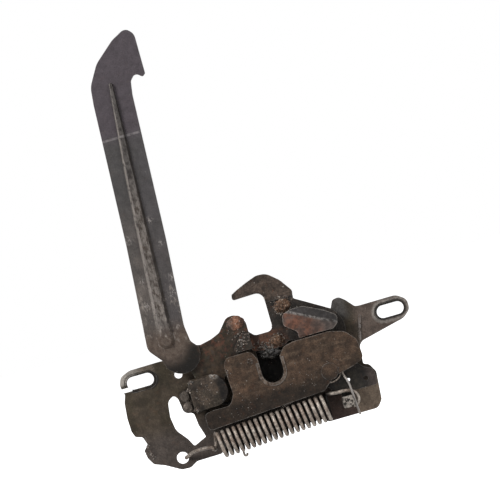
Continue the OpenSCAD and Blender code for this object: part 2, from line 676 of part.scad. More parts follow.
arm_outline = [
  [-56.9, 26, 6], each arc(arm_end, arm_end_r, 185, 368, 24), [-35.1, 24.6, 3],
  arm_point(half_w, 0, 12), arm_point(half_w, knee_at, 20), arm_point(half_w, lever_len - 33, 5),
  arm_point(half_w + 0.7, lever_len - 26.2, 3), arm_point(half_w + 3.4, lever_len - 22.8, 2.4),
  arm_point(half_w + lip_reach - 1.2, lever_len - 25.4, 0.9),
  arm_point(half_w + lip_reach + 0.3, lever_len - 24, 0.8),
  arm_point(half_w + lip_reach - 0.6, lever_len - 3.6, 5), arm_point(half_w + 3.6, lever_len, 6),
  arm_point(half_w - 4, lever_len - 4.6, 12), arm_point(-half_w + 6, lever_len - 14.2, 12),
  arm_point(-half_w + 0.5, lever_len - 24.8, 12), arm_point(-half_w, lever_len - 34, 12),
  arm_point(-half_w, knee_at, 20), arm_point(-half_w, 4, 20)
];

lobe_outline = [
  [-48.4, 23, 4], [-47, 15.4, 4], [-39.4, 11.4, 2], [-37.8, 6, 3], [-38.4, 1, 3], [-26, -1, 2],
  [-22.6, 4, 5], [-13.4, 9.4, 4], [-mouth_w / 2 - 0.6, 17, 1], [-mouth_w / 2 - 0.6, 27, 5],
  [-10.6, 31.3, 4.6], [-15.2, 30.8, 4], [-20.4, 24.6, 4], [-25, 22.7, 6], [-31, 21.4, 2], [-37, 23, 2],
  [-44, 26, 4]
];

// Rib pressed along the arm, from a broad foot to a point
module rib(shrink, back, front) {
  stations = [[0.2, -6, rib_w / 2], [-0.2, 75, rib_w * 0.34], [0.6, lever_len - 26, 1]];
  for (i = [0 : 1]) hull() for (p = [stations[i], stations[i + 1]]) {
    at = arm(p[0], p[1]);
    wide = max(p[2] - shrink, 0.2);
    translate([at[0], -back, at[1]]) rotate([90, 0, 0])
      cylinder(r1 = wide, r2 = wide * 0.55, h = front - back, $fn = hull_fn);
  }
}

module safety_lever() {
  color([0.35, 0.33, 0.32]) difference() {
    union() {
      sheet(lever_back, lever_front) {
        polygon(rounded(lobe_outline));
        translate(lever_at) circle(r = lever_hub_r);
      }
      sheet(arm_back, arm_front) polygon(rounded(arm_outline));
      rib(0, arm_front - eps, arm_front + rib_h);
      // Stop folded up beside the striker mouth
      sheet(lever_front - eps, lever_front + 2)
        polygon(rounded([[-17, 12.8, 1.5], [-9.6, 22, 1.6], [-mouth_w / 2 - 0.7, 18.6, 1.4],
          [-mouth_w / 2 - 0.7, 12.6, 1]]));
    }
    // Hollow behind the rib, as pressed
    rib(1, arm_back - eps, arm_front + rib_h - lever_t * 0.7);
    bar(lever_at, lever_rivet_r + pivot_fit, lever_back - 1, lever_front + 1);
  }
}

base_plate();
cover_plate();
lever_strap();
strap_rivets();
lever_pivot();
lever_bush();
lever_spring();
claw_pivot();
claw_washer();
pawl_pivot();
pawl_bush();
spring_collar();
return_spring();
coil_spring();
catch_claw();
claw_rivets();
release_pawl();
pawl_pin();
pawl_pad();
safety_lever();
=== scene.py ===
import math
import random

import bmesh
import bpy
from mathutils import Matrix, Vector, noise
from mathutils.bvhtree import BVHTree


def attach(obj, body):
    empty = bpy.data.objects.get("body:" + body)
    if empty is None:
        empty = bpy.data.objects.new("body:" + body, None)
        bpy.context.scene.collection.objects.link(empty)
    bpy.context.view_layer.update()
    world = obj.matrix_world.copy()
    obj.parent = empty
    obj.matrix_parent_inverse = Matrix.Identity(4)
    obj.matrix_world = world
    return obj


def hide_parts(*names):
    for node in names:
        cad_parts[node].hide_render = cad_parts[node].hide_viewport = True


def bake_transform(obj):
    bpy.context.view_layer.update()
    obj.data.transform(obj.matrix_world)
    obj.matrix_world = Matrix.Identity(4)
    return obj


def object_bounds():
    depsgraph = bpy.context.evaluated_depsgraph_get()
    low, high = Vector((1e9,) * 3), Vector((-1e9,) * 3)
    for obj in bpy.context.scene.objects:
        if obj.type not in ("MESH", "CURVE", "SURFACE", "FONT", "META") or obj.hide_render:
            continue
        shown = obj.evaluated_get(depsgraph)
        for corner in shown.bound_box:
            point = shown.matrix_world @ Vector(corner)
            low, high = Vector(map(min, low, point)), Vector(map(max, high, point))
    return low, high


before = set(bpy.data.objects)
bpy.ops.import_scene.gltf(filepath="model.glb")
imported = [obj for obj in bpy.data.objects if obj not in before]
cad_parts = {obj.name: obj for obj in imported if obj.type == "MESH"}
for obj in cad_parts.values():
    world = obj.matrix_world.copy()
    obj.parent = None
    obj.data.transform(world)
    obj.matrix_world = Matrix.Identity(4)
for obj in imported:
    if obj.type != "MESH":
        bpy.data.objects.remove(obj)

CAD_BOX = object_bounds()
MM = 0.001

# Camera: the photograph's frame is 249 mm wide at the latch, and the latch leans 16 degrees in it
PHOTO_WIDTH = 249 * MM
PHOTO_LEAN = math.radians(16)
PHOTO_CENTRE = Vector((5.8 * MM, -8 * MM, 60 * MM))
LENS = 220
SENSOR = 36
CLIP = (0.01, 20)

# Studio, in metres and watts
FILL = 0.3
FILL_TONE = (0.97, 0.98, 1, 1)
FLOOR_TONE = (0.82, 0.82, 0.82)
FLOOR_LIFT = 0.9
FLOOR_REACH = 4
FLOOR_GAP = 1 * MM
LIGHT_TARGET = Vector((0, 0, 50 * MM))
# name, place, width and power
LIGHTS = (
    ("key", (-0.75, -0.9, 0.8), 0.4, 13),
    ("side", (0.9, -0.8, 0.3), 0.6, 2),
    ("back", (0.1, 0.8, 0.9), 0.8, 5),
)

# Tones are scene linear values. These are shared by all the steel pieces
WHITE = (1, 1, 1)
# Near black: grease, and painted shade in gaps and hollows
BLACK_GREASE_AND_SHADE = (0.006, 0.005, 0.004)
GREASE = (0.020, 0.015, 0.011)
DARK_BROWN = (0.030, 0.021, 0.015)
DUST = (0.120, 0.092, 0.072)
PALE_DUST_AND_GLINT = (0.330, 0.300, 0.270)
RUST = (0.160, 0.060, 0.026)
PALE_EDGE_WEAR_AND_HIGHLIGHT = (0.34, 0.32, 0.30)

# Base plate
PLATE, PLATE_DARK = (0.058, 0.044, 0.031), (0.038, 0.030, 0.019)
PLATE_FOOT = (0.062, 0.050, 0.043)
RIGHT_EAR_LIT = (0.092, 0.070, 0.058)
SLOT_RIM = (0.205, 0.182, 0.162)
SLOT_SHADOW = (0.012, 0.010, 0.008)
LEFT_EAR_INNER, LEFT_EAR_OUTER = (0.112, 0.090, 0.068), (0.270, 0.246, 0.218)
BUMP_GREY = (0.066, 0.061, 0.057)
CREASE_HIGHLIGHT = (0.300, 0.270, 0.250)
TAIL_TAN, TAIL_PLUM = (0.190, 0.145, 0.107), (0.052, 0.034, 0.028)

# Cover and strap
COVER, COVER_DARK = (0.068, 0.041, 0.026), (0.044, 0.028, 0.018)
COVER_STREAK = (0.092, 0.062, 0.042)
COVER_FOOT = (0.018, 0.012, 0.008)
COVER_RIM = (0.130, 0.105, 0.086)
STRAP, STRAP_DARK = (0.052, 0.038, 0.028), (0.034, 0.027, 0.020)
STRAP_SHADE = (0.010, 0.008, 0.007)

# Claw, rivets and crusts
HOOK, HOOK_DARK = (0.054, 0.039, 0.030), (0.032, 0.024, 0.019)
HUB = (0.024, 0.020, 0.017)
JAW_RUST = (0.100, 0.046, 0.028)
RIVET, RIVET_DARK = (0.150, 0.125, 0.105), (0.045, 0.035, 0.028)
RUSTY_DARK, RUSTY, RUSTY_PALE = (0.032, 0.019, 0.013), (0.130, 0.072, 0.042), (0.420, 0.340, 0.270)
CRUST_DARK, CRUST, CRUST_PALE = (0.016, 0.012, 0.009), (0.085, 0.052, 0.034), (0.340, 0.290, 0.240)
CLOT, CLOT_GRIT = (0.012, 0.010, 0.008), (0.110, 0.100, 0.090)

# Pawl and pad
PAWL, PAWL_DARK = (0.024, 0.021, 0.017), (0.013, 0.011, 0.010)
PAWL_RIM = (0.064, 0.049, 0.044)
LUG_BARE_AND_HIGHLIGHT = (0.260, 0.230, 0.200)
PAD_RED, PAD_BROWN = (0.120, 0.050, 0.030), (0.070, 0.040, 0.030)
PAD_RIGHT = (0.072, 0.056, 0.049)
SLOPE_DARK, SLOPE_GREY = (0.012, 0.010, 0.010), (0.028, 0.024, 0.023)
PAD_RIDGE_HIGHLIGHT = (0.22, 0.20, 0.185)
PAD_RIM_HIGHLIGHT = (0.30, 0.265, 0.235)

# Safety lever
LEVER_DIRT = (0.042, 0.038, 0.037)
PAINT_RIGHT, PAINT_LEFT = (0.064, 0.059, 0.060), (0.060, 0.056, 0.055)
LOW_RIGHT, LOW_LEFT_LIT = (0.072, 0.064, 0.063), (0.110, 0.094, 0.084)
PAINT_CLOUD = (0.054, 0.050, 0.048)
PAINT_TOP = (0.068, 0.057, 0.064)
ROOT_DARK, ROOT_TAN = (0.070, 0.048, 0.036), (0.105, 0.080, 0.064)
ROUND_END_SHADE = (0.005, 0.004, 0.003)
RIB_DARK, RIB_PALE = (0.052, 0.041, 0.034), (0.155, 0.136, 0.122)
RIB_TOP_DARK, RIB_TOP_PALE = (0.028, 0.024, 0.022), (0.084, 0.075, 0.070)
RIB_LIT, RIB_SHADE = (0.240, 0.215, 0.195), (0.024, 0.019, 0.016)
SCORE = (0.24, 0.22, 0.22)
SCUFF = (0.34, 0.31, 0.29)
RUBBED = (0.250, 0.216, 0.190)
LOBE, LOBE_DARK = (0.042, 0.027, 0.017), (0.019, 0.016, 0.010)
LOBE_RUST = (0.085, 0.034, 0.021)
STOP = (0.024, 0.020, 0.016)
NOSE_DARK, NOSE_RUST = (0.060, 0.032, 0.022), (0.220, 0.110, 0.070)
NOSE_LEFT = (0.080, 0.062, 0.052)
NOSE_PIT = (0.42, 0.37, 0.33)

# Spring wire
WIRE, WIRE_BROWN = (0.41, 0.36, 0.31), (0.25, 0.195, 0.158)
WIRE_RUST = (0.085, 0.052, 0.034)
WIRE_BACK_SHADE = (0.008, 0.006, 0.005)
WIRE_HOOK = (0.070, 0.052, 0.042)
WIRE_LEG = (0.33, 0.305, 0.285)
WIRE_GAP_SHADE = (0.010, 0.008, 0.006)

# Places and sizes on the latch, in millimetres of the row frame
COIL_START = Vector((-35, -12.5, -28.7))
COIL_END = Vector((22.5, -12.5, -25.3))
COIL_RADIUS = 6.36
COIL_WIRE = 0.92
COIL_TURNS = 20
COIL_LEAD = 4.4
ANCHOR_AT = Vector((-55.1, 0, -30.65))
LUG_AT = Vector((32, -12.5, -24.9))
PAWL_AT = Vector((27.2, 0, -8.7))
THIN_WIRE = 0.55
RETURN_RADIUS = 5.45
RETURN_DEGREES = 510
EYE_X, EYE_Y, EYE_Z = -24.2, -3.35, -37.3
EYE_RADIUS = 0.8
EYE_ARC = range(180, 381, 40)
ARM_FRONT = -12.6
RIGHT_SLOT = (61.3, 68.7)
SLOT_Z = 12
# Painted shadow rings round the slots, where shade falls on their walls and round them: ends of
# the middle line, its height, and the ring's reach from it. The left ring sits lower and further
# right than its slot, where more of the shaded wall shows
SLOT_SHADOW_RINGS = (((-67.8, -60.4), 11.4, 4.9), (RIGHT_SLOT, SLOT_Z, 4.5))
# x, z and radius of the scuffs on the lever's arm
SCUFFS = ((-51, 81, 3.2), (-38, 88, 3), (-36, 76, 2.6), (-50, 60, 2.6), (-35.6, 58, 3),
          (-37, 50, 3.4), (-51.5, 47, 3.2))

# Steps of the wires, and the girth of their ends
TURN_STEPS = 36
LEAD_STEPS = 7
RETURN_STEPS = 60
CURVE_STEPS = 5
HOOK_STEPS = 4
TIP_SHARE = 0.8

# Uneven skins: how often the noise changes, and how far it swells
LUMP_BROAD, LUMP_FINE, LUMP_FINE_SHARE = 2.2, 6, 0.4
GRAIN_FINE, GRAIN_SWELL = 1.7, 0.45
# Grains: least length as a share of the largest, least width and the thickness as shares of the
# length, least facing of the ground, and where the rays that find the ground start
GRAIN_LEAST, GRAIN_NARROWEST, GRAIN_THICK = 0.35, 0.6, 0.6
GROUND_FACING = 0.3
RAY_START = -40 * MM

# Rounding of the sheet edges
WELD_DISTANCE = 0.002 * MM
SHARP_ANGLE = math.radians(40)
ROUNDING = {"base_plate": 0.35, "cover_plate": 0.6, "lever_strap": 0.5, "catch_claw": 0.6,
            "release_pawl": 0.35, "pawl_pad": 0.6, "safety_lever": 0.5}

# Values that all finishes share
BEVEL_SAMPLES = 6
SHADE_SAMPLES = 8
METAL_SHARE = 0.1
BUMP_DEPTH = 0.4 * MM


class Shader:
    """A node tree with short calls for the nodes that the finishes share. Masks run from 0 to 1."""

    def __init__(self, name):
        self.material = bpy.data.materials.new(name)
        self.material.use_nodes = True
        self.tree = self.material.node_tree
        self.tree.nodes.clear()
        place = self.add("ShaderNodeTexCoord")
        self.coords = place.outputs["Object"]
        self.xyz = self.add("ShaderNodeSeparateXYZ", Vector=self.coords).outputs
        self.facing = self.add("ShaderNodeSeparateXYZ", Vector=place.outputs["Normal"]).outputs

    def add(self, kind, **inputs):
        node = self.tree.nodes.new(kind)
        for key, value in inputs.items():
            self.join(value, node.inputs[key.replace("_", " ")])
        return node

    def join(self, value, socket):
        if isinstance(value, bpy.types.NodeSocket):
            self.tree.links.new(value, socket)
        elif isinstance(value, tuple) and len(value) == 3 and socket.type == "RGBA":
            socket.default_value = (*value, 1)
        else:
            socket.default_value = value

    def noise(self, size_mm, detail=4, roughness=0.55, stretch=(1, 1, 1)):
        """Noise whose lumps are about size_mm across."""
        mapped = self.add("ShaderNodeMapping", Vector=self.coords, Scale=stretch)
        made = self.add("ShaderNodeTexNoise", Vector=mapped.outputs[0], Scale=1000 / size_mm,
                        Detail=detail, Roughness=roughness)
        return made.outputs["Fac"]

    def pits(self, size_mm):
        """Distance field of scattered pits."""
        made = self.add("ShaderNodeTexVoronoi", Vector=self.coords, Scale=1000 / size_mm)
        return made.outputs["Distance"]

    def ramp(self, value, low, high, start=0.0, end=1.0):
        """A soft step: start where the value is at low, and end where it is at high. Either of the
        two may be the larger one."""
        made = self.add("ShaderNodeMapRange", Value=value, From_Min=low, From_Max=high,
                        To_Min=start, To_Max=end)
        made.interpolation_type = "SMOOTHSTEP"
        return made.outputs["Result"]

    def span(self, axis, low_mm, high_mm):
        """0 on one side of a place along an axis and 1 on the other, with a soft step between."""
        return self.ramp(self.xyz[axis], low_mm * MM, high_mm * MM)

    def slope(self, axis, low, high):
        """Mask of the faces that look along an axis."""
        return self.ramp(self.facing[axis], low, high)

    def near(self, x, y, z, inner_mm, outer_mm):
        """1 round a point, falling to 0 at the outer distance."""
        away = self.vector("DISTANCE", self.coords, (x * MM, y * MM, z * MM))
        return self.ramp(away["Value"], outer_mm * MM, inner_mm * MM)

    def round_slot(self, ends, z, inner_mm, outer_mm):
        """1 within the inner distance of a slot's middle line, falling to 0 at the outer one."""
        held = self.vector("MAXIMUM", self.coords, (ends[0] * MM, -1, z * MM))["Vector"]
        held = self.vector("MINIMUM", held, (ends[1] * MM, 1, z * MM))["Vector"]
        away = self.vector("DISTANCE", self.coords, held)
        return self.ramp(away["Value"], outer_mm * MM, inner_mm * MM)

    def line_side(self, x, z, slope, soft_mm=0.8):
        """1 above a slanted line through a point of the X-Z plane, and 0 below it. What lies left
        of a line that climbs to the right counts as above it."""
        rise = self.vector("DOT_PRODUCT", self.coords, (-slope, 0, 1))["Value"]
        level = (z - slope * x) * MM
        return self.ramp(rise, level - soft_mm / 2 * MM, level + soft_mm / 2 * MM)

    def mix(self, factor, a, b):
        node = self.tree.nodes.new("ShaderNodeMix")
        node.data_type = "RGBA"
        self.join(factor, node.inputs[0])
        self.join(a, node.inputs[6])
        self.join(b, node.inputs[7])
        return node.outputs[2]

    def vector(self, operation, a, b):
        node = self.tree.nodes.new("ShaderNodeVectorMath")
        node.operation = operation
        self.join(a, node.inputs[0])
        self.join(b, node.inputs[1])
        return node.outputs

    def math(self, operation, a, b):
        node = self.tree.nodes.new("ShaderNodeMath")
        node.operation = operation
        node.use_clamp = True
        self.join(a, node.inputs[0])
        self.join(b, node.inputs[1])
        return node.outputs[0]

    def shade_by(self, colour, value, dark, light):
        """The colour made darker and lighter by a noise."""
        factor = self.ramp(value, 0.34, 0.66, dark, light)
        return self.add("ShaderNodeHueSaturation", Color=colour, Value=factor).outputs[0]

    def both(self, *masks):
        joined = masks[0]
        for mask in masks[1:]:
            joined = self.math("MULTIPLY", joined, mask)
        return joined

    def either(self, a, b):
        return self.math("MAXIMUM", a, b)

    def less(self, a, b):
        return self.math("SUBTRACT", a, b)

    def edges(self, width_mm):
        """High along the outer edges, where wear bares the metal and highlights are painted."""
        rounded = self.add("ShaderNodeBevel", Radius=width_mm * MM)
        rounded.samples = BEVEL_SAMPLES
        plain = self.add("ShaderNodeNewGeometry").outputs["Normal"]
        agreement = self.vector("DOT_PRODUCT", rounded.outputs[0], plain)["Value"]
        return self.ramp(agreement, 0.995, 0.86)

    def crevice_shade(self, reach_mm, open_at=0.84):
        """High where other surfaces crowd in, for painted shade there, and for the grease and dirt
        that stay there.
        """
        shade = self.add("ShaderNodeAmbientOcclusion", Distance=reach_mm * MM)
        shade.samples = SHADE_SAMPLES
        return self.ramp(shade.outputs["AO"], open_at, 0.25)

    def finish(self, colour, roughness, height, metallic=0.0, bump=0.4, specular=0.5):
        bumped = self.add("ShaderNodeBump", Height=height, Strength=bump, Distance=BUMP_DEPTH)
        shader = self.add("ShaderNodeBsdfPrincipled", Base_Color=colour, Roughness=roughness,
                          Metallic=metallic, Normal=bumped.outputs[0],
                          Specular_IOR_Level=specular)
        out = self.add("ShaderNodeOutputMaterial")
        self.tree.links.new(shader.outputs[0], out.inputs["Surface"])
        return self.material


def aged(name, zones, dirt=DARK_BROWN, dust_share=0.35, rust_share=0.2, glint_share=0.6,
         edge_mm=0.5, edge_share=0.5, gap_shade_share=0.9, rough=(0.42, 0.75), specular=0.2, pit=0.6,
         bump=0.5, mottle=0.5, grain=0.3):
    """Greasy used steel. zones gives the piece's own tones, and the rest is common to all of it:
    mottling, dirt and dust, rust specks, pits, pale specks painted as glints, edges painted pale
    for wear and highlights, and painted shade with grease in the gaps."""
    s = Shader(name)
    cloud = s.noise(10, detail=5)
    grime = s.noise(2.2, detail=8, roughness=0.72)
    grit = s.noise(0.7, detail=5, roughness=0.75)
    colour = zones(s, cloud, grime)
    mottling = s.noise(4.2, detail=7, roughness=0.66)
    colour = s.shade_by(colour, mottling, 1 - mottle, 1 + mottle)
    colour = s.shade_by(colour, grit, 1 - grain, 1 + grain)
    colour = s.mix(s.both(s.ramp(grime, 0.46, 0.30), 0.7), colour, dirt)
    dusty = s.both(s.ramp(grime, 0.54, 0.70), s.ramp(grit, 0.35, 0.6), dust_share)
    colour = s.mix(dusty, colour, DUST)
    speckle = s.noise(3.4, detail=8, roughness=0.75)
    colour = s.mix(s.both(s.ramp(speckle, 0.55, 0.68), rust_share), colour, RUST)
    pitted = s.ramp(s.pits(1.15), 0.24, 0.08)
    colour = s.mix(s.both(pitted, s.ramp(cloud, 0.4, 0.55), 0.6), colour, GREASE)
    # Painted glints: scattered pale specks that stand in for highlights
    strewn = s.ramp(s.noise(4.5, detail=3), 0.52, 0.62)
    glints = s.both(s.ramp(s.pits(1.9), 0.17, 0.07), strewn, glint_share)
    colour = s.mix(glints, colour, PALE_DUST_AND_GLINT)
    # Edges painted pale, for bared metal and for painted highlights along them
    worn_and_lit_edges = s.both(s.edges(edge_mm), s.ramp(grime, 0.36, 0.58), edge_share)
    colour = s.mix(worn_and_lit_edges, colour, PALE_EDGE_WEAR_AND_HIGHLIGHT)
    # Painted shade, with grease, where other surfaces crowd in
    colour = s.mix(s.both(s.crevice_shade(3), gap_shade_share), colour, BLACK_GREASE_AND_SHADE)
    height = s.math("ADD", s.both(grime, 0.6), s.both(grit, 0.22))
    height = s.less(height, s.both(pitted, pit * 0.4))
    roughness = s.ramp(grime, 0.3, 0.7, rough[0], rough[1])
    return s.finish(colour, roughness, height, METAL_SHARE, bump, specular)


def base_zones(s, cloud, grime):
    """Olive brown plate: left ear pale on its upper arm, rubbed rim round the right slot, painted
    shadow round the slot walls, the right ear painted lighter for its light, a painted highlight
    along the bend at the right ear's root, tan and plum tail, and painted black shade with grease
    in the trough."""
    colour = s.mix(s.ramp(cloud, 0.38, 0.64), PLATE, PLATE_DARK)
    colour = s.mix(s.span("Z", -10, -22), colour, PLATE_FOOT)
    # Painted light: the right ear painted lighter, for the light that falls on its plane
    colour = s.mix(s.both(s.span("X", 44, 50), s.span("Z", -4, 2)), colour, RIGHT_EAR_LIT)
    rim = s.both(s.round_slot(RIGHT_SLOT, SLOT_Z, 5.4, 6.4), s.ramp(grime, 0.28, 0.48), 0.85)
    colour = s.mix(rim, colour, SLOT_RIM)
    ear = s.mix(s.span("X", -62, -68), LEFT_EAR_INNER, LEFT_EAR_OUTER)
    upper = s.both(s.span("X", -55, -59), s.span("Z", 11, 13), s.ramp(grime, 0.22, 0.42))
    colour = s.mix(upper, colour, ear)
    # Painted shadow in and round each slot's wall
    for ends, z, reach in SLOT_SHADOW_RINGS:
        slot_shadow = s.both(s.round_slot(ends, z, reach - 0.6, reach), s.ramp(cloud, 0.30, 0.44))
        colour = s.mix(slot_shadow, colour, SLOT_SHADOW)
    bump = s.both(s.span("X", 28, 32), s.span("X", 47, 41), s.span("Z", 12, 16))
    colour = s.mix(bump, colour, BUMP_GREY)
    front = s.span("Y", -1.0, -2.2)
    # Painted highlight along the bend at the right ear's root
    crease_highlight = s.both(s.line_side(47, 1, 4.5, 2), s.less(1.0, s.line_side(46, 1, 4.5, 2)),
                    s.span("Z", -10, -6), s.span("Z", 13, 8), front, s.ramp(grime, 0.38, 0.52))
    colour = s.mix(s.both(crease_highlight, 0.8), colour, CREASE_HIGHLIGHT)
    tail = s.both(front, s.span("X", 34.6, 36.8), s.span("Z", -17, -20))
    colour = s.mix(tail, colour, TAIL_TAN)
    under_lug = s.both(front, s.span("X", 36.8, 34.6), s.span("X", 18, 24),
                       s.span("Z", -16, -20))
    colour = s.mix(under_lug, colour, TAIL_PLUM)
    # Painted black shade in the trough, where grease lies too
    trough_shade = s.both(s.span("X", -8.4, -7.6), s.span("X", 8.4, 7.6), s.span("Y", -2.6, -1.2),
                    s.slope("Y", 0.5, 0.2))
    return s.mix(trough_shade, colour, BLACK_GREASE_AND_SHADE)


def cover_zones(s, cloud, grime):
    """Brown plate with rubbed streaks, nearly black at its foot, and a paler rim at the mouth."""
    colour = s.mix(s.ramp(cloud, 0.36, 0.64), COVER, COVER_DARK)
    streaks = s.noise(2.2, detail=6, stretch=(0.25, 1, 1))
    colour = s.mix(s.both(s.ramp(streaks, 0.5, 0.64), 0.65), colour, COVER_STREAK)
    colour = s.mix(s.span("Z", -6, -13), colour, COVER_FOOT)
    rim = s.both(s.span("Y", -16.3, -16.5), s.span("X", 9.5, 9))
    return s.mix(s.both(rim, s.ramp(grime, 0.36, 0.6), 0.8), colour, COVER_RIM)


def strap_zones(s, cloud, grime):
    """Dark brown strap with painted shade on its right-facing sides and right end, and a dusty
    spot at its top right.
    """
    colour = s.mix(s.ramp(cloud, 0.4, 0.6), STRAP, STRAP_DARK)
    # Painted shade on the strap's right-facing sides and right end
    shaded = s.either(s.slope("X", 0.15, 0.45), s.span("X", -28.8, -27.2))
    colour = s.mix(s.both(shaded, 0.9), colour, STRAP_SHADE)
    dusty = s.both(s.near(-28.6, -15, 5.3, 1, 3.2), s.ramp(grime, 0.35, 0.6), 0.9)
    return s.mix(dusty, colour, PALE_DUST_AND_GLINT)


def claw_zones(s, cloud, grime):
    """Dark hook, nearly black hub, and a jaw gone rusty."""
    colour = s.mix(s.ramp(cloud, 0.4, 0.62), HOOK, HOOK_DARK)
    colour = s.mix(s.span("Z", 33.2, 32.2), colour, HUB)
    jaw = s.both(s.span("Z", 20, 17), s.span("X", 13, 9.5), s.ramp(grime, 0.30, 0.60))
    return s.mix(s.both(jaw, 0.9), colour, JAW_RUST)


def rivet_zones(s, cloud, grime):
    """Bare rivet steel with dark stains."""
    return s.mix(s.ramp(grime, 0.35, 0.65), RIVET, RIVET_DARK)


def rusty_zones(s, cloud, grime):
    """Rivet heads under rust, with pale flakes."""
    colour = s.mix(s.ramp(grime, 0.36, 0.6), RUSTY_DARK, RUSTY)
    return s.mix(s.both(s.ramp(grime, 0.54, 0.64), 0.9), colour, RUSTY_PALE)


def crust_zones(s, cloud, grime):
    """Clotted grease and rust whose grains each have their own tone."""
    colour = s.mix(s.ramp(s.noise(1.1, detail=2), 0.42, 0.58), CRUST_DARK, CRUST)
    return s.mix(s.ramp(s.noise(0.9, detail=2), 0.56, 0.64), colour, CRUST_PALE)


def clot_zones(s, cloud, grime):
    """Wet black grease with pale grit in it."""
    return s.mix(s.ramp(s.noise(0.9, detail=3), 0.54, 0.64), CLOT, CLOT_GRIT)


def pawl_zones(s, cloud, grime):
    """Nearly black pawl with a browner right rim, and a lug whose front is painted pale for bared
    metal and a highlight.
    """
    colour = s.mix(s.ramp(cloud, 0.4, 0.62), PAWL, PAWL_DARK)
    colour = s.mix(s.both(s.span("X", 43, 47), 0.8), colour, PAWL_RIM)
    # The lug's front painted pale: rubbed bare metal and a painted highlight
    lug = s.both(s.span("Y", -12.4, -13.2), s.ramp(s.noise(1.3, detail=4), 0.46, 0.56))
    return s.mix(lug, colour, LUG_BARE_AND_HIGHLIGHT)


def arm_paint(s, cloud, grime):
    """Grey paint of the long arm: paler lower down, with painted light on its left facet there,
    brown at its root, and painted shade round its round end.
    """
    left = s.line_side(-47.8, 30, 14)
    paint = s.mix(left, PAINT_RIGHT, PAINT_LEFT)
    # Lower down, the left facet is painted lighter: painted light from the left
    paint = s.mix(s.span("Z", 108, 60), paint, s.mix(left, LOW_RIGHT, LOW_LEFT_LIT))
    paint = s.mix(s.both(s.ramp(cloud, 0.46, 0.62), 0.5), paint, PAINT_CLOUD)
    paint = s.mix(s.span("Z", 126, 136), paint, PAINT_TOP)
    root = s.mix(s.ramp(grime, 0.36, 0.6), ROOT_DARK, ROOT_TAN)
    paint = s.mix(s.span("Z", 40, 28), paint, root)
    # Painted shade: near black round the arm's round end, apart from a lit spot
    shaded = s.both(s.less(1.0, s.near(-45.5, ARM_FRONT, 24.5, 4, 12)), s.span("Z", 27, 20), 0.98)
    return s.mix(shaded, paint, ROUND_END_SHADE)


def rib_metal(s, grime):
    """Worn metal of the rib: darker at its top, painted light along its left flank and painted shade
    along its right.
    """
    scuffed = s.noise(1.5, detail=8, roughness=0.72, stretch=(1, 1, 0.45))
    scuffed = s.ramp(scuffed, 0.40, 0.58)
    top = s.mix(scuffed, RIB_TOP_DARK, RIB_TOP_PALE)
    bare = s.mix(s.span("Z", 120, 84), top, s.mix(scuffed, RIB_DARK, RIB_PALE))
    lit = s.both(s.slope("X", -0.12, -0.35), s.ramp(grime, 0.36, 0.52))
    bare = s.mix(lit, bare, RIB_LIT)
    return s.mix(s.both(s.slope("X", 0.12, 0.35), 0.7), bare, RIB_SHADE)


def lever_zones(s, cloud, grime):
    """Grey painted arm with a brown worn rib, and a dark brown lobe with rust blotches."""
    beside = s.either(s.span("X", -30, -34), s.span("Z", 38, 44))
    arm = s.both(beside, s.either(s.span("Y", -11.2, -11.8), s.span("Z", 22, 26)))
    rib = s.both(arm, s.span("Y", -12.8, -13.4), s.span("Z", 30, 42))
    paint = s.mix(rib, arm_paint(s, cloud, grime), rib_metal(s, grime))
    score = s.both(s.span("Z", 130.8, 131.3), s.span("Z", 132.4, 131.9),
                   s.ramp(grime, 0.40, 0.54), 0.5)
    paint = s.mix(score, paint, SCORE)
    flecks = s.noise(0.9, detail=6, roughness=0.8, stretch=(1, 1, 0.6))
    flecks = s.ramp(flecks, 0.50, 0.58)
    for x, z, size in SCUFFS:
        paint = s.mix(s.both(s.near(x, ARM_FRONT, z, 0, size), flecks), paint, SCUFF)
    rubbed = s.noise(3.2, detail=8, roughness=0.7, stretch=(1, 1, 0.5))
    rubbed = s.both(s.ramp(rubbed, 0.53, 0.64), s.span("Z", 66, 48), s.span("Z", 22, 27), 0.85)
    paint = s.mix(rubbed, paint, RUBBED)
    lobe = s.mix(s.ramp(cloud, 0.38, 0.62), LOBE, LOBE_DARK)
    lobe = s.shade_by(lobe, s.noise(3, detail=6), 0.5, 1.5)
    blotches = s.ramp(s.noise(2.6, detail=7, roughness=0.7), 0.49, 0.60)
    lobe = s.mix(s.both(blotches, s.span("Z", 10, 14), 0.75), lobe, LOBE_RUST)
    stop = s.both(s.span("X", -17, -14.5), s.span("Z", 23, 20))
    lobe = s.mix(s.both(stop, s.ramp(grime, 0.36, 0.56)), lobe, STOP)
    return s.mix(arm, lobe, paint)


def nose_zones(s, cloud, grime):
    """Rusted cap of the lever's nose, duller at its left, with pale pits."""
    colour = s.mix(s.ramp(grime, 0.35, 0.6), NOSE_DARK, NOSE_RUST)
    colour = s.mix(s.both(s.span("X", -12, -14.5), 0.8), colour, NOSE_LEFT)
    return s.mix(s.both(s.ramp(s.pits(1.6), 0.26, 0.12), 0.9), colour, NOSE_PIT)


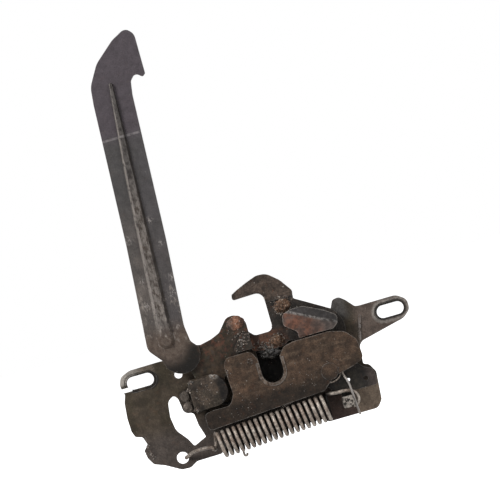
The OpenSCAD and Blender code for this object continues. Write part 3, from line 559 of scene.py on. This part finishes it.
def pad_finish():
    """Red-brown moulded pad, painted grey on the slope above its ridge for the light on that facet,
    with painted highlights along the ridge and round its rim.
    """
    s = Shader("pad_plastic")
    cloud = s.noise(5, detail=5)
    grime = s.noise(1.6, detail=7, roughness=0.7)
    colour = s.mix(s.ramp(cloud, 0.40, 0.60), PAD_RED, PAD_BROWN)
    colour = s.mix(s.span("X", 24, 33), colour, PAD_RIGHT)
    # Painted light: the slope above the ridge painted grey, for the light on that facet
    above = s.line_side(14.4, 25.0, -0.5, soft_mm=1.6)
    grey = s.mix(s.ramp(grime, 0.38, 0.6), SLOPE_DARK, SLOPE_GREY)
    colour = s.mix(above, colour, grey)
    # Painted highlight in a band along the ridge
    below_band = s.less(1.0, s.line_side(14.4, 26.2, -0.5, soft_mm=1))
    ridge_highlight = s.both(above, below_band, s.ramp(grime, 0.42, 0.56), 0.7)
    colour = s.mix(ridge_highlight, colour, PAD_RIDGE_HIGHLIGHT)
    colour = s.shade_by(colour, s.noise(2.4, detail=6), 0.6, 1.45)
    colour = s.mix(s.both(s.ramp(grime, 0.48, 0.34), 0.7), colour, DARK_BROWN)
    # Painted highlight round the pad's rim
    colour = s.mix(s.both(s.edges(0.8), s.ramp(grime, 0.36, 0.52), 0.8), colour, PAD_RIM_HIGHLIGHT)
    # Painted shade, with grease, where other surfaces crowd in
    colour = s.mix(s.both(s.crevice_shade(2), 0.9), colour, BLACK_GREASE_AND_SHADE)
    return s.finish(colour, s.ramp(grime, 0.3, 0.7, 0.3, 0.55), grime, bump=0.45, specular=0.3)


def spring_finish():
    """Bare wire, grey-brown on the outside of the turns, painted shade on their back half, and
    painted shade with grease between them.
    """
    s = Shader("spring_wire")
    cloud = s.noise(5, detail=6)
    grime = s.noise(0.9, detail=6, roughness=0.7)
    colour = s.mix(s.ramp(cloud, 0.38, 0.64), WIRE, WIRE_BROWN)
    colour = s.shade_by(colour, s.noise(1.4, detail=5), 0.6, 1.4)
    colour = s.mix(s.both(s.ramp(grime, 0.52, 0.66), 0.7), colour, WIRE_RUST)
    turns = s.both(s.span("X", -37, -34), s.span("X", 25, 23))
    # Painted shade on the back half of the coil's turns, seen between them
    back_shade = s.both(turns, s.span("Y", -15.2, -12.8), s.span("Y", -4.8, -5.8))
    colour = s.mix(back_shade, colour, WIRE_BACK_SHADE)
    hook = s.both(s.span("X", -34, -37), s.ramp(grime, 0.62, 0.46), 0.75)
    colour = s.mix(hook, colour, WIRE_HOOK)
    leg = s.both(s.span("X", 32.6, 33.4), s.span("Y", -13.4, -14.2), s.ramp(grime, 0.34, 0.5))
    colour = s.mix(leg, colour, WIRE_LEG)
    # Painted shade, with grease, in the gaps between the turns
    colour = s.mix(s.both(s.crevice_shade(2.4, open_at=0.9), 0.96), colour, WIRE_GAP_SHADE)
    return s.finish(colour, s.ramp(grime, 0.3, 0.7, 0.36, 0.6), grime, metallic=0.3, bump=0.35,
                    specular=0.3)


FINISHES = {
    "base": lambda: aged(
        "base_steel", base_zones, rust_share=0.1, bump=0.35, pit=0.4, glint_share=0.3,
        mottle=0.28, grain=0.22),
    "cover": lambda: aged(
        "cover_steel", cover_zones, rust_share=0.15, edge_share=0.45, edge_mm=0.7, bump=0.8,
        dust_share=0.5, glint_share=0.8, mottle=0.45, grain=0.4),
    "strap": lambda: aged(
        "strap_steel", strap_zones, bump=0.9, glint_share=0.5, edge_share=0.25, mottle=0.6,
        grain=0.5, dust_share=0.25),
    "rivet": lambda: aged(
        "rivet_steel", rivet_zones, bump=0.8, glint_share=0.9, grain=0.5),
    "claw": lambda: aged(
        "claw_steel", claw_zones, rust_share=0.35, bump=0.7, glint_share=0.9, grain=0.45,
        edge_share=0.4),
    "rusty": lambda: aged(
        "rusty_rivets", rusty_zones, rust_share=0.5, bump=1.0, glint_share=1.0, mottle=0.6,
        grain=0.7),
    "crust": lambda: aged(
        "crust", crust_zones, bump=0.9, mottle=0.3, gap_shade_share=0.5, specular=0.5,
        rough=(0.2, 0.5)),
    "clot": lambda: aged(
        "clot", clot_zones, rust_share=0.05, bump=1.0, glint_share=0.9, mottle=0.6, grain=0.6,
        gap_shade_share=0.6, specular=0.6, rough=(0.15, 0.4)),
    "pawl": lambda: aged(
        "pawl_steel", pawl_zones, rust_share=0.1, bump=0.4, edge_share=0.3, mottle=0.4),
    "lever": lambda: aged(
        "lever_steel", lever_zones, dirt=LEVER_DIRT, rust_share=0.05, dust_share=0.2,
        edge_share=0.3, rough=(0.38, 0.62), bump=0.3, pit=0.25, glint_share=0.3, mottle=0.14,
        grain=0.16),
    "nose": lambda: aged(
        "nose_rust", nose_zones, rust_share=0.3, bump=1.0, glint_share=1.0, grain=0.5),
    "pad": pad_finish,
    "spring": spring_finish,
}
FINISH_OF = {
    "base_plate": "base", "cover_plate": "cover", "lever_strap": "strap", "strap_rivets": "rivet",
    "lever_pivot": "rivet", "lever_bush": "rivet", "lever_spring": "spring",
    "claw_pivot": "rivet", "claw_washer": "rivet", "pawl_pivot": "cover", "pawl_bush": "rivet",
    "spring_collar": "rivet", "return_spring": "spring", "coil_spring": "spring",
    "catch_claw": "claw", "claw_rivets": "rusty", "release_pawl": "pawl", "pawl_pin": "rivet",
    "pawl_pad": "pad", "safety_lever": "lever",
}


def dress_nodes(made):
    """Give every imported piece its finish, and round the sheet edges a little, as pressing does."""
    for name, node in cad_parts.items():
        node.data.materials.clear()
        node.data.materials.append(made[FINISH_OF[name]])
        if name in ROUNDING:
            weld = node.modifiers.new("weld", "WELD")
            weld.merge_threshold = WELD_DISTANCE
            soft = node.modifiers.new("soft_edges", "BEVEL")
            soft.width = ROUNDING[name] * MM
            soft.segments = 2
            soft.limit_method = "ANGLE"
            soft.angle_limit = SHARP_ANGLE
            soft.use_clamp_overlap = True


def vectors(*points):
    return [Vector(p) for p in points]


def smooth_path(points, steps):
    """Points along a Catmull-Rom curve through the given ones."""
    path = []
    for i in range(len(points) - 1):
        a, b = points[max(i - 1, 0)], points[i]
        c, d = points[i + 1], points[min(i + 2, len(points) - 1)]
        for k in range(steps):
            t = k / steps
            path.append(0.5 * (2 * b + (c - a) * t + (2 * a - 5 * b + 4 * c - d) * t ** 2
                               + (3 * b - a - 3 * c + d) * t ** 3))
    return path + [points[-1]]


def new_piece(name, mesh, material):
    mesh.materials.append(material)
    mesh.shade_smooth()
    piece = bpy.data.objects.new(name, mesh)
    bpy.context.scene.collection.objects.link(piece)
    return piece


def wire(name, points_mm, radius_mm, material, sides=12):
    """Round wire along a path, with slightly narrowed ends."""
    points = [p * MM for p in points_mm]
    radius = radius_mm * MM
    verts, faces, normal = [], [], Vector((0, 0, 1))
    last = len(points) - 1
    for i, p in enumerate(points):
        along = (points[min(i + 1, last)] - points[max(i - 1, 0)]).normalized()
        normal = (normal - along * normal.dot(along)).normalized()
        side = along.cross(normal)
        girth = radius * (TIP_SHARE if i in (0, last) else 1)
        for k in range(sides):
            turn = 2 * math.pi * k / sides
            verts.append(p + girth * (math.cos(turn) * normal + math.sin(turn) * side))
    for i in range(last):
        for k in range(sides):
            a, b = i * sides + k, i * sides + (k + 1) % sides
            faces.append((a, b, b + sides, a + sides))
    faces.append(tuple(range(sides - 1, -1, -1)))
    faces.append(tuple(last * sides + k for k in range(sides)))
    mesh = bpy.data.meshes.new(name)
    mesh.from_pydata([tuple(v) for v in verts], [], faces)
    return new_piece(name, mesh, material)


def coil_path():
    """The coil spring from its hook in the plate, along the turns, to its hook on the lug."""
    axis = (COIL_END - COIL_START).normalized()
    length = (COIL_END - COIL_START).length
    out = Vector((0, -1, 0))
    up = axis.cross(out)

    def on_turn(angle, along, radius):
        return COIL_START + axis * along + radius * (math.cos(angle) * out + math.sin(angle) * up)

    hook_in = [ANCHOR_AT + p for p in vectors(
        (4.8, 2.6, 0), (2.6, 1.9, -0.3), (1.8, 0.3, -0.4), (1.8, -2.8, -0.4), (2.8, -4.8, 0.2),
        (5.6, -6.8, 1.4), (10.4, -10.9, 2))]
    first = math.radians(270)
    lead_in = [on_turn(first - math.pi * (1 - f), -COIL_LEAD * (1 - f),
                       COIL_RADIUS * math.sin(math.pi / 2 * f))
               for f in (i / LEAD_STEPS for i in range(LEAD_STEPS))]
    count = COIL_TURNS * TURN_STEPS
    turns = [on_turn(first + 2 * math.pi * COIL_TURNS * i / count, length * i / count, COIL_RADIUS)
             for i in range(count + 1)]
    hook_out = [LUG_AT + p for p in vectors(
        (-6.4, 0, 5.2), (-3, 0, 4.9), (0, 0, 4.7), (2.8, 0, 4), (4.7, 0, 2.3), (5.4, 0, 0.1),
        (4.9, 0, -1.9), (3.6, 0, -3.1), (2, 0, -3.4))]
    start = smooth_path(hook_in + lead_in + [turns[0]], CURVE_STEPS)[:-1]
    return start + turns + smooth_path([turns[-1]] + hook_out, HOOK_STEPS)[1:]


def return_path():
    """The thin return spring: up from beside the lug, round the pawl's pivot, down behind the coil
    and into a small eye."""
    back, front = -11.65, -13.15
    leg = vectors((36, -14.45, -33.4), (35.5, -14.45, -27.5), (35.2, -14.45, -22),
                  (34.7, -14.05, -16.6), (33.4, -13.15, -12.6))
    turns = []
    for i in range(RETURN_STEPS + 1):
        f = i / RETURN_STEPS
        a = math.radians(RETURN_DEGREES * f)
        turns.append(PAWL_AT + Vector((RETURN_RADIUS * math.cos(a), front + (back - front) * f,
                                       RETURN_RADIUS * math.sin(a))))
    tail = vectors((19.2, -11.65, -11.8), (17.2, -11.65, -15), (15.6, -10.05, -16.4),
                   (13.8, -5.35, -16.9), (11.6, -3.35, -17.2), (2, -3.35, -19.4),
                   (-8, -3.35, -23), (-16, -3.35, -26.4), (-21.8, -3.35, -29.6),
                   (-24.4, -3.35, -33), (-25, -3.35, -35.9))
    tail += [Vector((EYE_X + EYE_RADIUS * math.cos(a), EYE_Y, EYE_Z + EYE_RADIUS * math.sin(a)))
             for a in (math.radians(d) for d in EYE_ARC)]
    start = smooth_path(leg + [turns[0]], CURVE_STEPS)[:-1]
    return start + turns + smooth_path([turns[-1]] + tail, CURVE_STEPS)[1:]


def make_springs(made):
    coil = wire("coil_spring_wire", coil_path(), COIL_WIRE, made["spring"])
    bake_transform(coil)
    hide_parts("coil_spring")
    thin = wire("return_spring_wire", return_path(), THIN_WIRE, made["spring"], sides=10)
    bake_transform(thin)
    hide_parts("return_spring")


def lump(name, centre_mm, radii_mm, rough, seed, material):
    """Flattened crust or cap with an uneven skin, half sunk in the face that it sits on."""
    shape = bmesh.new()
    bmesh.ops.create_icosphere(shape, subdivisions=4, radius=1)
    for v in shape.verts:
        broad = noise.noise(v.co * LUMP_BROAD + Vector((seed, 0, 0)))
        fine = noise.noise(v.co * LUMP_FINE + Vector((0, seed, 0)))
        swell = 1 + rough * broad + LUMP_FINE_SHARE * rough * fine
        v.co = Vector([(c + r * swell * x) * MM for c, r, x in zip(centre_mm, radii_mm, v.co)])
    mesh = bpy.data.meshes.new(name)
    shape.to_mesh(mesh)
    shape.free()
    return new_piece(name, mesh, material)


def make_crusts(made):
    """Rusted cap of the lever's nose, rust round the claw's two rivets, grease below its jaw."""
    # name, body, slot, finish, centre, radii, roughness of the skin and seed
    for name, body, slot, key, centre, radii, rough, seed in (
        ("nose_cap", "lever", "lever_steel", "nose",
         (-11.4, -10.5, 27.2), (4.5, 1.3, 3.4), 0.16, 3.0),
        ("rust_upper", "claw", "rusty_rivets", "rusty",
         (13.4, -6.0, 28.9), (4.0, 1.15, 3.7), 0.3, 7.0),
        ("rust_lower", "claw", "rusty_rivets", "rusty",
         (6.4, -6.0, 13.1), (3.5, 1.15, 2.7), 0.3, 11.0),
        ("jaw_clot", "claw", "claw_steel", "clot",
         (1.6, -4.8, 8.4), (4.9, 1.5, 2.9), 0.6, 21.0),
    ):
        piece = lump(name, centre, radii, rough, seed, made[key])
        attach(piece, body)


def add_grain(shape, place, facing, size, draw):
    """One flattened, uneven grain that lies on a face."""
    turn = facing.to_track_quat("Z", "Y").to_matrix().to_4x4()
    width = size * draw.uniform(GRAIN_NARROWEST, 1)
    flat = Matrix.Diagonal((size, width, size * GRAIN_THICK, 1))
    made = bmesh.ops.create_icosphere(shape, subdivisions=2, radius=1)
    shift = Vector((draw.uniform(0, 9), draw.uniform(0, 9), 0))
    spin = Matrix.Rotation(draw.uniform(0, 2 * math.pi), 4, "Z")
    for v in made["verts"]:
        v.co = v.co * (1 + GRAIN_SWELL * noise.noise(v.co * GRAIN_FINE + shift))
    laid = Matrix.Translation(place) @ turn @ spin @ flat
    bmesh.ops.transform(shape, verts=made["verts"], matrix=laid)


def grains(name, node, spots, seed, material):
    """Grains of clotted grease and rust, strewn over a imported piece's front within round spots."""
    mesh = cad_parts[node].data
    tree = BVHTree.FromPolygons([v.co for v in mesh.vertices],
                                [tuple(p.vertices) for p in mesh.polygons])
    backward = Vector((0, 1, 0))
    draw = random.Random(seed)
    shape = bmesh.new()
    for x, z, radius, count, largest in spots:
        for _ in range(count):
            angle, away = draw.uniform(0, 2 * math.pi), radius * math.sqrt(draw.random())
            size = largest * draw.uniform(GRAIN_LEAST, 1) * MM
            start = Vector(((x + away * math.cos(angle)) * MM, RAY_START,
                            (z + away * math.sin(angle)) * MM))
            place, facing, _, _ = tree.ray_cast(start, backward)
            if place is not None and abs(facing.y) >= GROUND_FACING:
                add_grain(shape, place, facing, size, draw)
    built = bpy.data.meshes.new(name)
    shape.to_mesh(built)
    shape.free()
    return new_piece(name, built, material)


def make_grains(made):
    """Crust where the photograph shows it: rivets, nose, jaw, strap and the chipped left edge."""
    # name, node, body, slot, seed and spots. A spot is its centre's x and z, its radius, the number
    # of grains and their largest size
    for name, node, body, slot, seed, spots in (
        ("crust_claw", "catch_claw", "claw", "rusty_rivets", 5, (
            (13.4, 28.6, 4.4, 60, 0.75), (12.6, 33.4, 1.4, 12, 0.5), (16.4, 32.2, 1.4, 12, 0.5),
            (19.4, 31.4, 1.4, 9, 0.5), (6.4, 13.1, 4.2, 40, 0.7), (-3, 12, 3.6, 34, 0.7),
            (2, 11, 2.6, 30, 0.7), (7, 34, 3, 7, 0.4), (5, 22, 3, 6, 0.4))),
        ("crust_lever", "safety_lever", "lever", "lever_steel", 8, (
            (-10.5, 27.3, 3.8, 34, 0.6), (-9.4, 19, 3.4, 40, 0.7), (-12.4, 14.4, 2.4, 18, 0.6),
            (-14, 22, 3, 14, 0.5))),
        ("crust_strap", "lever_strap", "frame", "strap_steel", 11, (
            (-40.6, 4.4, 1.4, 16, 0.7), (-43.4, 1.2, 1.5, 16, 0.75), (-44.9, -3, 1.5, 20, 0.8),
            (-44.4, -7.4, 1.6, 20, 0.8), (-41.6, -9.6, 1.4, 14, 0.7), (-28.6, 5, 1.9, 14, 0.6),
            (-34, -2, 6, 26, 0.45))),
        ("crust_base", "base_plate", "frame", "base_steel", 14, (
            (-70.9, -16.5, 1.2, 10, 0.5), (-70.4, -20, 1.2, 12, 0.6), (-70.6, -23.8, 1.4, 16, 0.7),
            (-68.6, -26.6, 1.4, 8, 0.5))),
        ("crust_cover", "cover_plate", "frame", "cover_steel", 17, (
            (-9.4, 7, 1.4, 12, 0.5), (-22, 4, 2, 14, 0.5), (30, -8, 6, 18, 0.32),
            (12, -10, 8, 22, 0.32), (-16, -12, 8, 22, 0.32), (10, 4, 5, 12, 0.3))),
    ):
        piece = grains(name, node, spots, seed, made["crust"])
        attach(piece, body)


def background(tree, strength, colour=(1, 1, 1, 1)):
    node = tree.nodes.new("ShaderNodeBackground")
    node.inputs["Color"].default_value = colour
    node.inputs["Strength"].default_value = strength
    return node.outputs[0]


def blend_shaders(tree, factor, a, b):
    node = tree.nodes.new("ShaderNodeMixShader")
    tree.links.new(factor, node.inputs[0])
    tree.links.new(a, node.inputs[1])
    tree.links.new(b, node.inputs[2])
    return node.outputs[0]


def larger(tree, a, b):
    node = tree.nodes.new("ShaderNodeMath")
    node.operation = "MAXIMUM"
    tree.links.new(a, node.inputs[0])
    tree.links.new(b, node.inputs[1])
    return node.outputs[0]


def make_world():
    """White where the camera, a reflection or a refraction looks, and a softer fill elsewhere."""
    world = bpy.data.worlds.new("studio")
    bpy.context.scene.world = world
    world.use_nodes = True
    tree = world.node_tree
    tree.nodes.clear()
    path = tree.nodes.new("ShaderNodeLightPath").outputs
    seen = larger(tree, larger(tree, path["Is Camera Ray"], path["Is Glossy Ray"]),
                  path["Is Transmission Ray"])
    fill = background(tree, FILL, FILL_TONE)
    out = tree.nodes.new("ShaderNodeOutputWorld")
    white = background(tree, 1)
    tree.links.new(blend_shaders(tree, seen, fill, white), out.inputs["Surface"])


def make_floor():
    """Pale floor below the latch. The camera sees it lifted to white, apart from the shadow."""
    mesh = bpy.data.meshes.new("floor")
    size, z = FLOOR_REACH, CAD_BOX[0].z - FLOOR_GAP
    corners = [(-size, -size, z), (size, -size, z), (size, size, z), (-size, size, z)]
    mesh.from_pydata(corners, [], [(0, 1, 2, 3)])
    floor = bpy.data.objects.new("floor", mesh)
    bpy.context.scene.collection.objects.link(floor)
    s = Shader("pale_floor")
    tree = s.tree
    matt = s.add("ShaderNodeBsdfDiffuse", Color=FLOOR_TONE).outputs[0]
    lift = s.add("ShaderNodeEmission", Color=WHITE, Strength=FLOOR_LIFT).outputs[0]
    white = s.add("ShaderNodeEmission", Color=WHITE, Strength=1.0).outputs[0]
    lifted = tree.nodes.new("ShaderNodeAddShader")
    tree.links.new(lift, lifted.inputs[0])
    tree.links.new(matt, lifted.inputs[1])
    path = tree.nodes.new("ShaderNodeLightPath").outputs
    seen = blend_shaders(tree, path["Is Camera Ray"], matt, lifted.outputs[0])
    mirrored = larger(tree, path["Is Glossy Ray"], path["Is Transmission Ray"])
    out = s.add("ShaderNodeOutputMaterial")
    tree.links.new(blend_shaders(tree, mirrored, seen, white), out.inputs["Surface"])
    mesh.materials.append(s.material)


def make_lights():
    for name, at, size, power in LIGHTS:
        data = bpy.data.lights.new(name, "AREA")
        data.energy = power
        data.size = size
        lamp = bpy.data.objects.new(name, data)
        lamp.location = at
        lamp.rotation_euler = (LIGHT_TARGET - Vector(at)).to_track_quat("-Z", "Y").to_euler()
        bpy.context.scene.collection.objects.link(lamp)


def make_camera():
    data = bpy.data.cameras.new("camera")
    data.lens, data.sensor_width = LENS, SENSOR
    data.clip_start, data.clip_end = CLIP
    camera = bpy.data.objects.new("camera", data)
    distance = PHOTO_WIDTH * LENS / SENSOR
    camera.location = PHOTO_CENTRE + Vector((0, -distance, 0))
    camera.rotation_mode = "XYZ"
    # Looks along +Y, then rolls so that the latch leans as in the photograph
    camera.rotation_euler = (math.radians(90), PHOTO_LEAN, 0)
    bpy.context.scene.collection.objects.link(camera)
    bpy.context.scene.camera = camera


bpy.context.scene.view_settings.view_transform = "Standard"
materials = {key: make() for key, make in FINISHES.items()}
dress_nodes(materials)
make_springs(materials)
make_crusts(materials)
make_grains(materials)
make_world()
make_floor()
make_lights()
make_camera()
